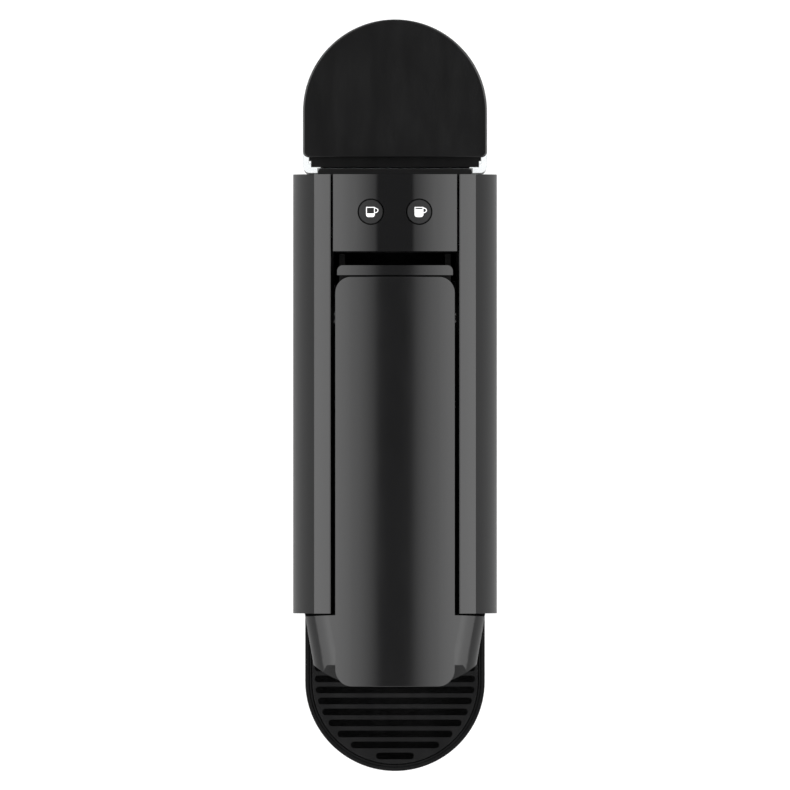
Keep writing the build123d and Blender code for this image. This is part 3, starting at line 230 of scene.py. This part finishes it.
def cup_outlines(level):
    """Closed outlines of the mark: the cup with its handle, its empty part, the handle's eye."""
    low_y = CUP_BOTTOM + CUP_CORNER
    corner = (CUP_CORNER, CUP_CORNER)
    low_left = arc((CUP_LEFT + CUP_CORNER, low_y), corner, 180, 270, 6)
    low_right = arc((CUP_RIGHT - CUP_CORNER, low_y), corner, 270, 360, 6)
    bow = arc((CUP_RIGHT, HANDLE_Y), (HANDLE_OUT, HANDLE_HALF), -90, 90, 16)
    eye = arc((CUP_RIGHT, HANDLE_Y), (HANDLE_OUT - LINE, HANDLE_HALF - LINE), -90, 90, 16)
    outside = [(CUP_LEFT, CUP_TOP), *low_left, *low_right, *bow, (CUP_RIGHT, CUP_TOP)]
    left, right, top = CUP_LEFT + LINE, CUP_RIGHT - LINE, CUP_TOP - LINE
    return outside, [(left, top), (left, level), (right, level), (right, top)], eye


def cup_mark(key, body, level):
    """White cup printed on a button, filled with coffee up to the level."""
    low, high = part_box(key)
    middle = (low + high) / 2
    shape = bmesh.new()
    for outline in cup_outlines(level):
        points = [shape.verts.new((x, y, 0)) for x, y in outline]
        for k, point in enumerate(points):
            shape.edges.new((points[k - 1], point))
    bmesh.ops.triangle_fill(shape, edges=shape.edges[:], use_beauty=True)
    raised = bmesh.ops.extrude_face_region(shape, geom=shape.faces[:], use_keep_orig=True)
    tops = {v for v in raised["geom"] if isinstance(v, bmesh.types.BMVert)}
    for point in shape.verts:
        x, y = middle.x + point.co.x, middle.y + point.co.y
        point.co = (x, y, crown(x, KEY_INSET) + (MARK_T if point in tops else -MARK_T))
    bmesh.ops.recalc_face_normals(shape, faces=shape.faces[:])
    mesh = bpy.data.meshes.new(key + "_mark")
    shape.to_mesh(mesh)
    shape.free()
    mark = bpy.data.objects.new(key + "_mark", mesh)
    bpy.context.collection.objects.link(mark)
    mesh.materials.append(look["mark"])
    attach(mark, body)


cup_mark("button_espresso", "espresso_key", ESPRESSO_LEVEL)
cup_mark("button_lungo", "lungo_key", LUNGO_LEVEL)

# ================================================================ floor
FLOOR_HALF = 6.0
FLOOR_DROP = 0.2 * MM        # gap under the feet
FLOOR_TONE = 0.3             # what the machine's gloss sees of the floor
FLOOR_GLOW = 0.8             # light added where it is seen directly or through the tank


def stage_floor():
    """Plain white floor under the machine."""
    half = FLOOR_HALF
    corners = [(-half, -half, 0), (half, -half, 0), (half, half, 0), (-half, half, 0)]
    mesh = bpy.data.meshes.new("floor")
    mesh.from_pydata(corners, [], [(0, 1, 2, 3)])
    floor = bpy.data.objects.new("floor", mesh)
    bpy.context.collection.objects.link(floor)
    mat, tree, shader = material("floor_white")
    shader.inputs["Base Color"].default_value = (*grey(FLOOR_TONE), 1)
    shader.inputs["Roughness"].default_value = 0.9
    shader.inputs["Specular IOR Level"].default_value = 0.0
    shader.inputs["Emission Color"].default_value = (1, 1, 1, 1)
    ray = tree.nodes.new("ShaderNodeLightPath")
    seen = tree.nodes.new("ShaderNodeMath")
    seen.operation = "MAXIMUM"
    tree.links.new(ray.outputs["Is Camera Ray"], seen.inputs[0])
    tree.links.new(ray.outputs["Is Transmission Ray"], seen.inputs[1])
    glow = tree.nodes.new("ShaderNodeMath")
    glow.operation = "MULTIPLY"
    glow.inputs[1].default_value = FLOOR_GLOW
    tree.links.new(seen.outputs["Value"], glow.inputs[0])
    tree.links.new(glow.outputs["Value"], shader.inputs["Emission Strength"])
    mesh.materials.append(mat)
    floor.location.z = cad_box[0][2] - FLOOR_DROP


# ================================================================ light
LIGHT_PEAK = 3.4             # brightness of the side lights
# Each list of stops is (where, how bright).
# Where: share of a quarter turn from straight overhead to the side.
SIDE_STOPS = ((0.0, 0.0), (0.105, 0.0), (0.125, 0.2), (0.23, 0.52), (0.34, 0.78),
              (0.5, 0.95), (0.7, 0.6), (1.0, 0.25))
# Where: how far the direction points along the machine.
END_STOPS = ((0.0, 1.0), (0.55, 1.0), (0.95, 0.35), (1.0, 0.3))
# Where: how far the direction points up.
HORIZON_STOPS = ((0.0, 0.30), (0.35, 0.16), (0.8, 0.012), (1.0, 0.004))


def studio_world():
    """Two tall soft lights left and right with a dark strip overhead, over a pale horizon."""
    world = bpy.data.worlds.new("studio")
    bpy.context.scene.world = world
    world.use_nodes = True
    tree = world.node_tree
    tree.nodes.clear()
    place = tree.nodes.new("ShaderNodeTexCoord")
    split = tree.nodes.new("ShaderNodeSeparateXYZ")
    tree.links.new(place.outputs["Generated"], split.inputs["Vector"])

    def math(kind, *values):
        node = tree.nodes.new("ShaderNodeMath")
        node.operation = kind
        for k, value in enumerate(values):
            if isinstance(value, bpy.types.NodeSocket):
                tree.links.new(value, node.inputs[k])
            else:
                node.inputs[k].default_value = value
        return node.outputs["Value"]

    def steps(source, stops):
        curve = tree.nodes.new("ShaderNodeValToRGB")
        elements = curve.color_ramp.elements
        for stop, (at, value) in zip(elements, (stops[0], stops[-1])):
            stop.position = at
            stop.color = (*grey(value), 1)
        for at, value in stops[1:-1]:
            elements.new(at).color = (*grey(value), 1)
        tree.links.new(source, curve.inputs["Fac"])
        return curve.outputs["Color"]

    across = math("ABSOLUTE", split.outputs["X"])
    up = math("MAXIMUM", split.outputs["Z"], 0.0)
    side_angle = math("MULTIPLY", math("ARCTAN2", across, up), 2 / pi)
    along = math("ABSOLUTE", split.outputs["Y"])
    boxes = math("MULTIPLY", steps(side_angle, SIDE_STOPS), steps(along, END_STOPS))
    light = math("ADD", boxes, steps(split.outputs["Z"], HORIZON_STOPS))
    shade = tree.nodes.new("ShaderNodeBackground")
    shade.inputs["Strength"].default_value = LIGHT_PEAK
    out = tree.nodes.new("ShaderNodeOutputWorld")
    tree.links.new(light, shade.inputs["Color"])
    tree.links.new(shade.outputs["Background"], out.inputs["Surface"])


# ================================================================ camera
VIEW_WIDTH = 346.7 * MM      # what the camera sees across, at the crown's height
VIEW_AHEAD = 0.9 * MM        # its middle, behind the machine's middle
LENS = 1650.0
SENSOR = 36.0
CLIP = (0.5, 60.0)


def plan_camera():
    """Camera straight above, far away, so that it sees the machine as a plan."""
    data = bpy.data.cameras.new("camera")
    data.lens = LENS
    data.sensor_width = SENSOR
    data.clip_start, data.clip_end = CLIP
    camera = bpy.data.objects.new("camera", data)
    bpy.context.collection.objects.link(camera)
    middle = (cad_box[0] + cad_box[1]) / 2
    camera.location = (middle.x, middle.y + VIEW_AHEAD, TOP + VIEW_WIDTH * LENS / SENSOR)
    bpy.context.scene.camera = camera


bpy.context.scene.view_settings.view_transform = "Standard"
stage_floor()
studio_world()
plan_camera()
